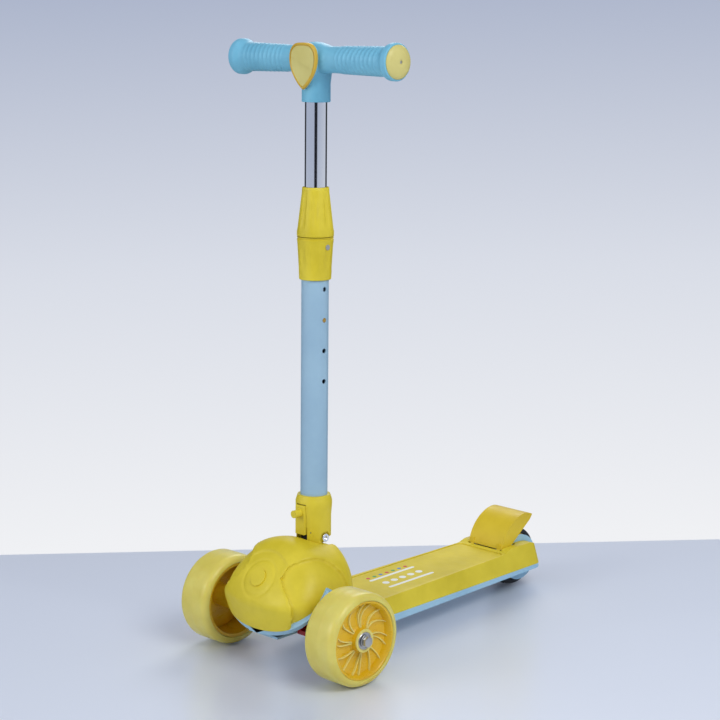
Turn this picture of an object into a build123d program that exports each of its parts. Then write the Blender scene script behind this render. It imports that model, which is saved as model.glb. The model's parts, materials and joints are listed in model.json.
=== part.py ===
from build123d import *
import os
from math import cos, radians, sin, sqrt

# Child's three-wheeled kick scooter: two wide front wheels that steer when the rider leans, one rear
# wheel with a foot brake, a folding stem and a height-adjustable T-bar. Millimetres.
# +X is forward, +Y is the rider's left, +Z is up. The ground is z = 0 and the origin lies on it, under
# the middle of the scooter.

# ---- driving dimensions: running gear ----
wheelbase = 429.0
track = 237.0                  # between the middles of the two front wheels
front_wheel_radius = 60.0
front_wheel_width = 51.0
front_tread_thickness = 10.0   # tyre outside to core
front_shoulder = 9.0           # rounding of the front tyre's edges
rear_wheel_radius = 42.0
rear_wheel_width = 36.0
rear_tread_thickness = 9.0
rear_shoulder = 7.0
rib_count = 16                 # ribs on a front wheel's face
bearing_radius = 11.0
bearing_width = 7.0
axle_radius = 4.0
running_clearance = 0.05       # radial, for every shaft that turns or slides in its hole
screw_radius = 1.9
screw_head_radius = 3.6
screw_length = 14.0
face_gap = 0.5                 # between faces that pass each other

# ---- head: the rounded housing over the steering ----
head_front_reach = 62.5        # ahead of the front axle
head_rear_reach = 87.0         # behind the front axle
head_crown_x = 5.0             # widest and highest section, ahead of the front axle
head_middle_z = 92.0
head_height = 69.0             # from the middle up to the crown
head_half_width = 82.0
frame_top_z = 106.0            # underside of the inner frame's top plate
head_wall = 6.5                # leaves 2.5 at the bottom of the side recesses
scoop_depth = 4.0              # side recess of the housing
scoop_half_length = 46.0
scoop_half_height = 52.0
scoop_z = 95.0
arch_radius = 78.0             # edge of the side openings, seen from the side
arch_half_span = 72.0
rim_height = 5.0               # visible edge of the lower bowl
emblem_radius = 11.5
bowl_floor_z = 44.5
bowl_floor_half_width = 27.0
bowl_wall = 3.0

fork_gap = (52.5, 73.5)        # heights between the ears of the cross beam's forks
beam_top_z = 84.0
spring_seat_z = 90.0
spring_y = 21.5

# ---- lean steering ----
lean_pivot_z = 84.0
lean_pin_radius = 5.0
lean_limit = 8.0               # degrees each way
kingpin_y = 50.0
kingpin_radius = 4.0
knuckle_radius = 10.0
steering_arm = 20.0            # kingpin to tie rod, behind the axle
tie_rod_z = 58.0
finger_radius = 3.5            # fixed finger that holds the middle of the tie rod
frame_front = 29.0             # inner frame's two cross walls, ahead of and behind the axle
frame_rear = -46.0
frame_wall = 6.0

# ---- deck ----
deck_top_z = 62.0
parting_z_front = 39.0         # line between the yellow shell and the tray, at the head
parting_z_rear = 35.0          # the same at the rear axle
deck_half_width_front = 60.0
deck_half_width_rear = 50.0
deck_draft = 13.0              # degrees of slope on the sides
deck_wall = 3.0
tail_reach = 24.0              # behind the rear axle
tail_hump = 4.5                # rise of the deck over the wheel arms
tray_depth = 6.0
pad_half_width_front = 46.0
pad_half_width_rear = 42.0
pad_thickness = 2.0
pad_recess = 1.0               # the pad lies this far below the deck's rim
cheek_radius = 32.4            # round plates beside the rear wheel
cheek_thickness = 4.5
cheek_gap = 2.5                # rear tyre to cheek

# ---- foot brake ----
brake_pivot_ahead = 42.5       # ahead of the rear axle
brake_pivot_z = 60.0
fender_tyre_gap = 3.5          # clear of the tyre all round, so that only the brake block rubs
brake_pin_radius = 2.5
brake_half_width = 31.0
brake_wall = 3.0
brake_travel = 7.0             # degrees

# ---- stem ----
rake = 2.5                     # degrees, leaning back
fold_pivot_z = 156.7
fold_pivot_behind = 51.6       # behind the front axle
fold_angle = 80.0
lower_tube_radius = 17.5
lower_tube_wall = 1.5
upper_tube_radius = 14.3
upper_tube_wall = 1.5
collar_radius = 22.5
collar_bulge_radius = 23.6
collar_height = 54.8           # top of the folding collar above the pivot
collar_drop = 6.2              # bottom of the collar below the pivot
lug_half_width = 9.0
lug_radius = 13.0
fold_bolt_radius = 4.0
clamp_bottom = 333.7           # heights along the stem, above the pivot
clamp_split = 388.4
clamp_top = 450.2
clamp_radius_bottom = 20.4
clamp_radius_middle = 23.4
clamp_radius_top = 17.0
hole_pitch = 39.3
hole_count = 4
pinned_hole = 282.7            # height of the hole that the button sits in
hole_radius = 3.1
button_radius = 2.9
upper_tube_bottom = 258.0
upper_tube_top = 596.0
lower_tube_top = 366.0
button_foot = 6.0              # inner end of the button, off the stem axis
collet_radius = 16.0
clamp_screw_height = 375.8
clamp_screw_head = 3.4
latch_half_width = 7.8
latch_pin_radius = 1.5
latch_pin_x = 17.0             # latch hinge, ahead of the stem axis and above the pivot
latch_pin_height = 8.0

# ---- handlebar ----
tee_bottom = 556.1
bar_height = 608.8
tee_socket_radius = 18.0
tee_barrel_radius = 21.5
tee_half_width = 32.0
bar_tube_radius = 11.0
bar_tube_wall = 1.5
grip_radius_inner = 16.4
grip_radius_outer = 18.0
grip_end = 134.0               # where the flange begins to stand proud
bar_end = 141.0
flange_radius = 22.9
cap_radius = 20.6
cap_dome = 6.0
badge_width = 49.0
badge_height = 58.0
badge_thickness = 4.0
badge_face = 24.5              # front of the badge, ahead of the stem axis
badge_foot = 571.5             # height of the badge's point

# ---- places worked out from the sizes above ----
front_axle_x = (wheelbase + rear_wheel_radius - head_front_reach) / 2
rear_axle_x = front_axle_x - wheelbase
front_wheel_y = track / 2
lower_tube_bore = lower_tube_radius - lower_tube_wall
upper_tube_bore = upper_tube_radius - upper_tube_wall
bar_tube_bore = bar_tube_radius - bar_tube_wall
slot_half = rear_wheel_width / 2 + cheek_gap
cheek_outer = slot_half + cheek_thickness
deck_front_x = front_axle_x - 51
slot_front_x = rear_axle_x + rear_wheel_radius + 4
brake_pivot_x = rear_axle_x + brake_pivot_ahead
far = 400.0                    # reach of the cutting blocks, past every face


def block(x, y, z):
    """A box from three (low, high) pairs."""
    size = [high - low for low, high in (x, y, z)]
    middle = [(high + low) / 2 for low, high in (x, y, z)]
    return Pos(*middle) * Box(*size)


def rod_x(radius, x, y=0.0, z=0.0):
    return Pos((x[0] + x[1]) / 2, y, z) * Rot(0, 90, 0) * Cylinder(radius, x[1] - x[0])


def rod_y(radius, y, x=0.0, z=0.0):
    return Pos(x, (y[0] + y[1]) / 2, z) * Rot(90, 0, 0) * Cylinder(radius, y[1] - y[0])


def rod_z(radius, z, x=0.0, y=0.0):
    return Pos(x, y, (z[0] + z[1]) / 2) * Cylinder(radius, z[1] - z[0])


def turned_y(outline, x=0.0, z=0.0):
    """A solid of revolution about the Y direction, from (radius, y) points."""
    face = make_face(Polyline(*outline, close=True))
    return Pos(x, 0, z) * revolve(face, axis=Axis.Y)


def turned_z(outline):
    """A solid of revolution about Z, from (radius, z) points."""
    face = Plane.XZ * make_face(Polyline(*outline, close=True))
    return revolve(face, axis=Axis.Z)


def side_profile(wire, y):
    """A solid with a side outline in X and Z, between two values of y."""
    face = Plane.XZ.offset(-y[0]) * make_face(wire)
    return extrude(face, amount=-(y[1] - y[0]))


def mirrored(solid):
    return mirror(solid, about=Plane.XZ)


def on_stem(solid):
    """Moves a piece from the upright stem frame, origin at the fold pivot, to its place."""
    place = Pos(front_axle_x - fold_pivot_behind, 0, fold_pivot_z) * Rot(0, -rake, 0)
    return place * solid


# ---- front wheels ----
def wheel_tyre(radius, width, thickness, shoulder):
    """Tyre round the Y axis, middle at y = 0, with rounded shoulders."""
    profile = Pos(radius - thickness / 2, 0) * Rectangle(thickness, width)
    outer = profile.vertices().sort_by(Axis.X)[-2:]
    return revolve(fillet(outer, min(shoulder, thickness - 0.5)), axis=Axis.Y)


def wheel_core(radius, width, hub_radius, web_y, web_thickness):
    """Hub, web and rim of a wheel, bored for a bearing at each end."""
    half = width / 2
    rim_wall = 3.5
    hub = rod_y(hub_radius, (-half + 1, half - 1))
    rim = rod_y(radius, (-half + 1.5, half - 1.5)) - rod_y(radius - rim_wall, (-half, half))
    web = rod_y(radius - 1, (web_y - web_thickness / 2, web_y + web_thickness / 2))
    core = hub + rim + web
    core -= rod_y(axle_radius + 1.5, (-half, half))
    for side in (-1, 1):
        seat = (half - 1 - bearing_width, half)
        seat = seat if side > 0 else (-seat[1], -seat[0])
        core -= rod_y(bearing_radius, seat)
    return core


def front_wheel_core():
    """The front core's outward face, +Y, carries a fan of raised ribs."""
    core_radius = front_wheel_radius - front_tread_thickness
    hub_radius = 14.5
    web_y = front_wheel_width / 2 - 10
    core = wheel_core(core_radius, front_wheel_width, hub_radius, web_y, 3.0)
    rib_height = 3.0
    rib_width = 1.6
    rib = block((hub_radius - 1, core_radius - 2.5), (web_y, web_y + rib_height),
                (-rib_width / 2, rib_width / 2))
    for number in range(rib_count):
        core += Rot(0, 360 / rib_count * number, 0) * rib
    return core


def bearing_pair(width, outer_radius=bearing_radius):
    """Two ball bearings as plain rings, one at each end of a hub."""
    half = width / 2
    rings = []
    for side in (-1, 1):
        y = sorted((side * (half - 1), side * (half - 1 - bearing_width)))
        rings.append(rod_y(outer_radius, y) - rod_y(axle_radius, y))
    return Compound(rings)


# ---- head shell and bowl ----
def head_body(inset):
    """Egg-shaped body of the head, pulled in by inset: broad and blunt in plan, sloping at the front."""
    sections = []
    front = head_front_reach - head_crown_x
    rear = head_rear_reach + head_crown_x
    stations = [(-0.97, rear), (-0.85, rear), (-0.6, rear), (-0.3, rear), (0.0, front), (0.3, front),
                (0.55, front), (0.78, front), (0.93, front), (0.985, front)]
    for share, reach in stations:
        step = abs(share)
        if share < 0:
            width_share = (1 - step ** 2.25) ** (1 / 2.25)
            height_share = (1 - step ** 2.7) ** (1 / 2.7)
        else:
            width_share = (1 - step ** 2.7) ** (1 / 2.7)
            height_share = (1 - step ** 1.3) ** (1 / 1.3)
        x = front_axle_x + head_crown_x + share * (reach - inset)
        half_width = head_half_width * width_share - inset
        half_height = head_height * height_share - inset
        plane = Plane(origin=(x, 0, head_middle_z), x_dir=(0, 1, 0), z_dir=(1, 0, 0))
        sections.append(plane * Ellipse(max(half_width, 3.0), max(half_height, 3.0)))
    return loft(sections)


def under_arch(drop):
    """Everything below the head shell's edge: level at the front, rising to a pointed arch at the sides."""
    radius = arch_radius + drop
    centre_z = deck_top_z + arch_radius
    apex_x = front_axle_x - 2
    low = block((-far, far), (-far, far), (-far, deck_top_z - drop))
    middle = block((apex_x - arch_half_span, apex_x + arch_half_span), (-far, far), (-far, centre_z))
    for side in (-1, 1):
        middle -= rod_y(radius, (-far, far), apex_x + side * arch_half_span, centre_z)
    return low + middle


def scoop_region():
    """Side recess outline, run out to both sides."""
    centre = Pos(front_axle_x + 2, 0, scoop_z)
    outline = Plane.XZ * Ellipse(scoop_half_length, scoop_half_height)
    ring = centre * extrude(outline, amount=far / 2, both=True)
    return ring - block((-far, far), (-20, 20), (-far, far))


def fold_sweep():
    """Space behind the neck that the collar and the folded stem pass through."""
    reach = collar_bulge_radius + 1.2
    ahead = 0.8
    pit = rod_y(reach, (-reach, reach)) & block((-far, -ahead), (-reach, reach), (-far, 0))
    trough = Rot(0, -fold_angle, 0) * rod_z(reach, (0, far))
    trough &= block((-far, -ahead), (-far, far), (-far, far))
    return on_stem(pit + trough)


def neck():
    """Short flared neck on top of the head, under the folding collar."""
    top = -collar_drop - face_gap
    return on_stem(turned_z([(0, -40), (34, -40), (29, -16), (collar_radius + 2, top), (0, top)]))


def head_shell():
    """Upper housing: open below, with an arch each side for the steering arms and a slot for the lug."""
    outside = head_body(0) - (scoop_region() - head_body(scoop_depth)) + neck()
    shell = outside - under_arch(0) - head_body(head_wall)
    gap = 1.0
    shell -= on_stem(block((-lug_radius - gap, lug_radius + gap), (-lug_half_width - gap, lug_half_width + gap),
                           (-60, far)))
    collar_room = on_stem(rod_z(collar_bulge_radius + 1.2, (-collar_drop - face_gap, far)))
    return shell - collar_room - fold_sweep() - emblem_plug()


def head_bowl():
    """Lower bowl: a rim that shows below the shell, a lip inside it, and a floor under the beam."""
    gap = 0.3
    lip_inset = head_wall + gap
    inside = head_body(lip_inset + bowl_wall)
    rim = (head_body(1) & under_arch(gap)) - (scoop_region() - head_body(scoop_depth + 1))
    lip = head_body(lip_inset) & under_arch(-8)
    bowl = (rim + lip) - under_arch(rim_height) - inside
    bowl &= block((deck_front_x, far), (-far, far), (-far, far))
    x = front_axle_x
    low, high = bowl_floor_z, bowl_floor_z + bowl_wall
    across = (-bowl_floor_half_width, bowl_floor_half_width)
    floor = block((deck_front_x, x + 48), across, (low, high))
    nose = block((x + 45, x + 48), across, (low, deck_top_z))
    bridge = block((x + 45, x + 57), across, (deck_top_z - rim_height, deck_top_z - rim_height + bowl_wall))
    bowl += floor + nose + (bridge & head_body(1))
    for place in head_screw_places():
        bowl -= Pos(*place) * rod_z(screw_radius, (0, 30))
    frame_room = (x + frame_front - gap, x + frame_front + frame_wall + gap)
    return bowl - block(frame_room, (-26.3, 26.3), (high, far))


def lean_pin():
    """Pivot pin of the cross beam, held in both walls of the frame."""
    x = front_axle_x
    return rod_x(lean_pin_radius, (x + frame_rear - 2, x + frame_front + frame_wall + 2), 0, lean_pivot_z)


def head_screw_places():
    """Screws up through the bowl's floor into the frame's two feet."""
    low = bowl_floor_z
    return [(front_axle_x + x, y, low) for x in (frame_front + 3, frame_rear + 3) for y in (-15.0, 15.0)]


def head_frame():
    """Inner bracket that carries the neck lug, the lean pin and the finger that works the tie rod."""
    x = front_axle_x
    wall = frame_wall
    half = 26.0
    foot_z = bowl_floor_z + bowl_wall
    frame = block((x + frame_rear, x + frame_front + wall), (-24, 24), (frame_top_z, frame_top_z + wall))
    frame += block((x - 56, x - 30), (-lug_half_width, lug_half_width), (frame_top_z, frame_top_z + wall))
    for start in (x + frame_front, x + frame_rear):
        frame += block((start, start + wall), (-half, half), (foot_z, frame_top_z + 1))
    frame += on_stem(rod_y(lug_radius, (-lug_half_width, lug_half_width)))
    post_foot = frame_top_z + 1 - fold_pivot_z
    frame += on_stem(block((-2, lug_radius), (-lug_half_width, lug_half_width), (post_foot, 0)))
    finger_z = tie_rod_z + 9
    frame += block((x + frame_rear + 1, x - steering_arm + finger_radius), (-5, 5), (finger_z, finger_z + 6))
    frame += rod_z(finger_radius, (tie_rod_z - 4, finger_z + 2), x - steering_arm)
    frame -= rod_x(lean_pin_radius, (x - 60, x + 60), 0, lean_pivot_z)
    for place in head_screw_places():
        frame -= Pos(*place) * rod_z(screw_radius, (0, screw_length))
    return frame - on_stem(rod_y(fold_bolt_radius, (-30, 30)))


def emblem_plug():
    """Round post square to the head's sloping front, where the emblem is let in."""
    lean_up = 39.0
    front = head_front_reach - head_crown_x
    step = 0.72
    x = front_axle_x + head_crown_x + step * front
    z = head_middle_z + head_height * (1 - step ** 1.3) ** (1 / 1.3)
    post = Pos(x, 0, z) * Rot(0, 90 - lean_up, 0) * Cylinder(emblem_radius, 14)
    return post - head_body(1.5)


def head_emblem():
    """Round disc let into the front of the head."""
    return emblem_plug() & head_body(-0.8)


# ---- lean beam and steering ----

def axle_beam():
    """Cross beam on the lean pin, forked at each end round a steering knuckle."""
    x = front_axle_x
    along = (x - 13, x + 13)
    beam = rod_x(10, (x + frame_rear + frame_wall + face_gap, x + frame_front - face_gap), 0, lean_pivot_z)
    beam += block(along, (-58, 58), (fork_gap[1] + 0.5, beam_top_z))
    beam += block((x - 11, x + 11), (-32, 32), (beam_top_z - 2, spring_seat_z))
    for side in (-1, 1):
        fork = block(along, (34, 58), (47, beam_top_z)) - block((x - 14, x + 14), (40.8, 60), fork_gap)
        fork -= rod_z(kingpin_radius, (40, 90), x, kingpin_y)
        beam -= rod_z(kingpin_radius, (40, 90), x, side * kingpin_y)
        beam += fork if side > 0 else mirrored(fork)
    return beam - rod_x(lean_pin_radius + running_clearance, (x - 60, x + 60), 0, lean_pivot_z)


def kingpins():
    pins = [rod_z(kingpin_radius, (47, beam_top_z), front_axle_x, side * kingpin_y) for side in (-1, 1)]
    return Compound(pins)


def centring_springs():
    """Two coil springs, drawn as sleeves, between the beam and the head frame."""
    springs = []
    for side in (-1, 1):
        outer = rod_z(8, (spring_seat_z, frame_top_z), front_axle_x, side * spring_y)
        springs.append(outer - rod_z(5.5, (spring_seat_z, frame_top_z), front_axle_x, side * spring_y))
    return Compound(springs)


def tie_rod():
    """Flat rod with an upright pin at each end and a slot in the middle for the frame's finger."""
    x = front_axle_x - steering_arm
    slot = finger_radius + 0.6
    bar = block((x - 5, x + 5), (-kingpin_y - 5, kingpin_y + 5), (tie_rod_z - 2.5, tie_rod_z + 2.5))
    bar += block((x - 8, x + 8), (-8, 8), (tie_rod_z - 2.5, tie_rod_z + 2.5))
    bar -= block((x - slot, x + slot), (-slot, slot), (tie_rod_z - 5, tie_rod_z + 5))
    for side in (-1, 1):
        bar += rod_z(3, (tie_rod_z, tie_rod_z + 8.5), x, side * kingpin_y)
    return bar


def left_knuckle():
    """Kingpin boss, stub arm out to the wheel and a slotted steering arm behind."""
    x = front_axle_x
    z = front_wheel_radius
    wheel_face = front_wheel_y - front_wheel_width / 2
    low, high = fork_gap[0] + 0.5, fork_gap[1] - 0.5
    knuckle = rod_z(8.6, (low, high), x, kingpin_y)
    knuckle += rod_y(knuckle_radius, (kingpin_y + 4, wheel_face - 4), x, (low + high) / 2)
    knuckle += rod_y(6, (wheel_face - 5, wheel_face + 1), x, z)
    knuckle += block((x - steering_arm - 6, x), (kingpin_y - 5.5, kingpin_y + 5.5),
                     (tie_rod_z + 3.5, tie_rod_z + 8.5))
    knuckle -= rod_z(kingpin_radius + running_clearance, (40, 90), x, kingpin_y)
    slot = 3.15
    knuckle -= block((x - steering_arm - slot - 0.6, x - steering_arm + slot + 0.6),
                     (kingpin_y - slot, kingpin_y + slot), (tie_rod_z, tie_rod_z + 20))
    return knuckle - rod_y(axle_radius - running_clearance, (kingpin_y + 12, far), x, z)


def left_axle_bolt():
    """Threaded axle moulded into the knuckle, out through the wheel."""
    reach = front_wheel_y + front_wheel_width / 2
    return rod_y(axle_radius - running_clearance, (kingpin_y + 12, reach + 4), front_axle_x,
                 front_wheel_radius)


def left_axle_nut():
    """Washer and hexagon nut on the outer end of the axle."""
    start = front_wheel_y + front_wheel_width / 2 - 1
    washer = rod_y(8, (start + 0.3, start + 1.5))
    hexagon = extrude(Plane.XZ * RegularPolygon(7.2, 6), amount=-6)
    nut = washer + Pos(0, start + 1.3, 0) * hexagon
    nut -= rod_y(axle_radius - running_clearance, (0, far))
    return Pos(front_axle_x, 0, front_wheel_radius) * nut


def front_wheel_parts(side):
    """Tyre, core and bearings of one front wheel, in place; side is 1 for the left."""
    place = Pos(front_axle_x, side * front_wheel_y, front_wheel_radius)
    turn = Rot(0, 0, 0) if side > 0 else Rot(0, 0, 180)
    tyre = wheel_tyre(front_wheel_radius, front_wheel_width, front_tread_thickness, front_shoulder)
    return (place * tyre, place * turn * front_wheel_core(),
            place * bearing_pair(front_wheel_width))


# ---- deck ----
def half_width_at(x, front, rear):
    """Width of the tapering deck, by place along its length."""
    start = front_axle_x - head_rear_reach
    share = (start - x) / (start - rear_axle_x)
    return front + (rear - front) * share


def parting_z(x):
    return half_width_at(x, parting_z_front, parting_z_rear)


def below_parting():
    """Everything below the sloping line where the deck shell meets the tray."""
    corners = [(-far, parting_z(-far)), (far, parting_z(far)), (far, -far), (-far, -far)]
    return side_profile(Polyline(*corners, close=True), (-far, far))


def deck_plan(front_x, inset, tail_radius):
    """Tapering outline of the deck seen from above, rounded at the tail."""
    tail_x = rear_axle_x - tail_reach + inset
    front = half_width_at(front_x, deck_half_width_front, deck_half_width_rear) - inset
    rear = half_width_at(tail_x, deck_half_width_front, deck_half_width_rear) - inset
    outline = make_face(Polyline((front_x, -front), (front_x, front), (tail_x, rear), (tail_x, -rear),
                                 close=True))
    return fillet(outline.vertices().sort_by(Axis.X)[:2], tail_radius)


def deck_side(inset):
    """Side view of the deck's top: level, humped over the wheel arms and rounded down at the tail."""
    top = deck_top_z - inset
    hump = top + tail_hump
    tail = rear_axle_x - tail_reach + inset
    rise_start = rear_axle_x + brake_pivot_ahead + 14
    rise_end = rear_axle_x + brake_pivot_ahead - 4
    fall_start = rear_axle_x + 10
    line = Polyline((far, -far), (far, top), (rise_start, top))
    middle = ((rise_start + rise_end) / 2, (top + hump) / 2)
    rise = Spline((rise_start, top), middle, (rise_end, hump), tangents=[(-1, 0), (-1, 0)])
    flat = Line((rise_end, hump), (fall_start, hump))
    fall = Spline((fall_start, hump), (tail, 45), tangents=[(-1, 0), (0, -1)])
    end = Polyline((tail, 45), (tail, -far), (far, -far))
    return side_profile(line + rise + flat + fall + end, (-far / 2, far / 2))


def deck_body(inset, front_x):
    plan = Pos(0, 0, 30) * deck_plan(front_x, inset, 16)
    block_up = extrude(plan, amount=50, taper=deck_draft)
    return (block_up & deck_side(inset)) - below_parting()


def wheel_slot():
    """Room for the rear wheel, its cheeks and the foot of the brake."""
    gap = 0.4
    slot = block((-far, slot_front_x + gap), (-cheek_outer - gap, cheek_outer + gap), (-far, far))
    foot = block((rear_axle_x + 16, brake_pivot_x + 6), (-brake_half_width - 0.6, brake_half_width + 0.6),
                 (brake_pivot_z - 10, far))
    return slot + foot


def pad_plan(grow):
    front_x = front_axle_x - head_rear_reach - 1
    rear_x = brake_pivot_x + 11
    front = half_width_at(front_x, pad_half_width_front, pad_half_width_rear) + grow
    rear = half_width_at(rear_x, pad_half_width_front, pad_half_width_rear) + grow
    outline = make_face(Polyline((front_x + grow, -front), (front_x + grow, front), (rear_x - grow, rear),
                                 (rear_x - grow, -rear), close=True))
    return fillet(outline.vertices(), 9)


def deck_shell():
    solid = deck_body(0, deck_front_x)
    shell_front = slot_front_x + 6
    hollow = deck_body(deck_wall, deck_front_x - deck_wall)
    hollow &= block((shell_front, far), (-far, far), (-far, deck_top_z - deck_wall - pad_thickness))
    shell = solid - hollow - wheel_slot()
    shell -= Pos(0, 0, deck_top_z - pad_recess - pad_thickness) * extrude(pad_plan(0.2), amount=20)
    shell -= rod_y(brake_pin_radius, (-36, 36), brake_pivot_x, brake_pivot_z)
    pocket = rod_y(9.5, (-37, 37), rear_axle_x, rear_wheel_radius)
    pocket += block((rear_axle_x - 9.5, rear_axle_x + 9.5), (-37, 37), (0, rear_wheel_radius))
    post_top = deck_top_z - deck_wall - pad_thickness + 0.5
    for x, y, z in deck_screw_places():
        shell += rod_z(5, (z + 3, post_top), x, y) - rod_z(screw_radius, (z, z + screw_length), x, y)
    return shell - pocket


def deck_pad():
    return Pos(0, 0, deck_top_z - pad_recess - pad_thickness) * extrude(pad_plan(0), amount=pad_thickness)


def deck_tray():
    """Shallow pan under the deck, ribbed inside, with two round cheeks that hold the rear axle."""
    low_z = parting_z_rear - tray_depth
    plan = Pos(0, 0, low_z) * deck_plan(deck_front_x, 1, 16)
    pan = extrude(plan, amount=30) & below_parting()
    well = Pos(0, 0, low_z + 3) * deck_plan(deck_front_x - 3, 4.5, 12)
    well = extrude(well, amount=30) & block((slot_front_x + 6, far), (-far, far), (-far, far))
    pan -= well
    rib_top = deck_top_z - deck_wall - pad_thickness - 0.3
    for y in (-24.0, 0.0, 24.0):
        pan += block((slot_front_x + 6.4, deck_front_x - deck_wall - 8), (y - 1.25, y + 1.25),
                     (low_z + 1, rib_top))
    for number in range(5):
        x = slot_front_x + 40 + number * 45
        pan += block((x - 1.25, x + 1.25), (-40, 40), (low_z + 1, rib_top))
    pan -= block((-far, slot_front_x), (-slot_half, slot_half), (-far, far))
    clear = 0.4
    pan -= block((-far, slot_front_x), (-cheek_outer - clear, cheek_outer + clear), (parting_z_rear + 3, far))
    for side in (-1, 1):
        y = (slot_half, cheek_outer) if side > 0 else (-cheek_outer, -slot_half)
        pan += rod_y(cheek_radius, y, rear_axle_x, rear_wheel_radius)
        pan += block((rear_axle_x, slot_front_x), y, (low_z, 50))
    pan -= rod_y(brake_pin_radius + 5.5, (-far, far), brake_pivot_x, brake_pivot_z)
    for place in deck_screw_places():
        pan -= Pos(*place) * rod_z(screw_radius, (0, 30))
    return pan - rod_y(axle_radius - running_clearance, (-40, 40), rear_axle_x, rear_wheel_radius)


def rear_axle_bolt():
    head = rod_y(7, (cheek_outer, cheek_outer + 4))
    shank = rod_y(axle_radius - running_clearance, (-cheek_outer - 7, cheek_outer + 1))
    bolt = head + shank - rod_y(2.5, (cheek_outer + 2, far))
    return Pos(rear_axle_x, 0, rear_wheel_radius) * bolt


def rear_axle_nut():
    hexagon = Pos(0, -cheek_outer - 6, 0) * extrude(Plane.XZ * RegularPolygon(7.2, 6), amount=-6)
    nut = hexagon - rod_y(axle_radius - running_clearance, (-far, 0))
    return Pos(rear_axle_x, 0, rear_wheel_radius) * nut


def deck_screw_places():
    """Screws up through the tray into posts under the deck."""
    low = parting_z_rear - tray_depth
    return [(slot_front_x + 62.5 + 90 * number, y, low) for number in range(3) for y in (-34.0, 34.0)]


def chassis_screws():
    """Self-tapping screws under the deck tray and under the head's bowl."""
    screws = []
    for place in deck_screw_places() + head_screw_places():
        head = rod_z(screw_head_radius, (-1.5, 0))
        screws.append(Pos(*place) * (head + rod_z(screw_radius, (-1, screw_length))))
    return Compound(screws)


def rear_wheel_parts():
    place = Pos(rear_axle_x, 0, rear_wheel_radius)
    tyre = wheel_tyre(rear_wheel_radius, rear_wheel_width, rear_tread_thickness, rear_shoulder)
    core = wheel_core(rear_wheel_radius - rear_tread_thickness, rear_wheel_width, 14.5, 0, 5)
    return place * tyre, place * core, place * bearing_pair(rear_wheel_width)


# ---- foot brake ----
def fender_profile(inset):
    """Side outline of the curved brake fender, pulled in by inset."""
    x, z = brake_pivot_x, brake_pivot_z
    foot = (x + 3 - inset, z + 4)
    tip = (x - 63, z + 42.5 - inset)
    shoulder = (x - 27, z + 42 - inset)
    crown = (x - 50, z + 47 - inset)
    back = Spline(foot, (x - 6 - inset * 0.7, z + 25 - inset * 0.7), shoulder, crown, tip)
    under = Polyline(tip, (x - 58, z + 36), (x - 13, z + 3), foot)
    return back + under


def rear_fender():
    """Foot brake: a curved plate over the wheel with a side wall each side and two hinge ears."""
    half = brake_half_width
    fender = side_profile(fender_profile(0), (-half, half))
    inside = side_profile(fender_profile(brake_wall), (-half + brake_wall, half - brake_wall))
    inside += block((brake_pivot_x - 70, brake_pivot_x - 12), (-half + brake_wall, half - brake_wall),
                    (brake_pivot_z - 20, brake_pivot_z + 26))
    clear = rod_y(rear_wheel_radius + fender_tyre_gap, (-half + brake_wall, half - brake_wall),
                  rear_axle_x, rear_wheel_radius)
    inside += clear & block((brake_pivot_x - 14, far), (-half, half), (0, far))
    fender -= inside
    for side in (-1, 1):
        y = (cheek_outer - 3.5, half - brake_wall) if side > 0 else (brake_wall - half, 3.5 - cheek_outer)
        ear = rod_y(5, y, brake_pivot_x, brake_pivot_z)
        ear += block((brake_pivot_x - 2, brake_pivot_x + 3), y, (brake_pivot_z, brake_pivot_z + 12))
        fender += ear
    return fender - rod_y(brake_pin_radius + running_clearance, (-far, far), brake_pivot_x, brake_pivot_z)


def brake_pin():
    return rod_y(brake_pin_radius, (-36, 36), brake_pivot_x, brake_pivot_z)


def brake_block():
    """Steel rubbing plate over the tyre, on a post that ends at the underside of the fender."""
    x, z = brake_pivot_x - 37, brake_pivot_z + 30
    under_fender = side_profile(fender_profile(brake_wall), (-10, 10))
    post = rod_z(3, (z, far), x) & under_fender
    return block((x - 11, x + 11), (-12, 12), (z, z + 3)) + post


def brake_spring():
    """Torsion spring on the brake's pin: a coil each side of the wheel, drawn as rings with a leg."""
    coils = []
    for y in ((18.6, 21.3), (-21.3, -18.6)):
        coil = rod_y(3.8, y, brake_pivot_x, brake_pivot_z)
        coils.append(coil - rod_y(brake_pin_radius, y, brake_pivot_x, brake_pivot_z))
    return Compound(coils)


# ---- stem: these are drawn upright, with the fold pivot at the origin ----
def fold_collar():
    """Collar at the foot of the stem: a fork round the lug, a socket for the tube and a latch window."""
    seat = lug_radius + 2
    collar = turned_z([(0, -collar_drop), (collar_radius, -collar_drop), (collar_radius, 28),
                       (collar_bulge_radius, 42), (collar_bulge_radius, 47), (21.2, collar_height),
                       (lower_tube_radius, collar_height), (lower_tube_radius, seat), (0, seat)])
    fork_gap_half = lug_half_width + 0.3
    collar -= block((-far, far), (-fork_gap_half, fork_gap_half), (-far, seat - 0.5))
    collar -= block((-far, 0.5), (-far, far), (-far, 0.5))
    collar -= block((12, far), (-latch_half_width - 0.5, latch_half_width + 0.5), (2.5, 44.5))
    collar -= rod_y(fold_bolt_radius, (-30, 30))
    collar -= rod_y(latch_pin_radius, (-14, 14), latch_pin_x, latch_pin_height)
    for side in (-1, 1):
        y = (collar_radius - 3.5, far) if side > 0 else (-far, 3.5 - collar_radius)
        collar -= rod_y(8.4, y)
    return on_stem(collar)


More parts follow.
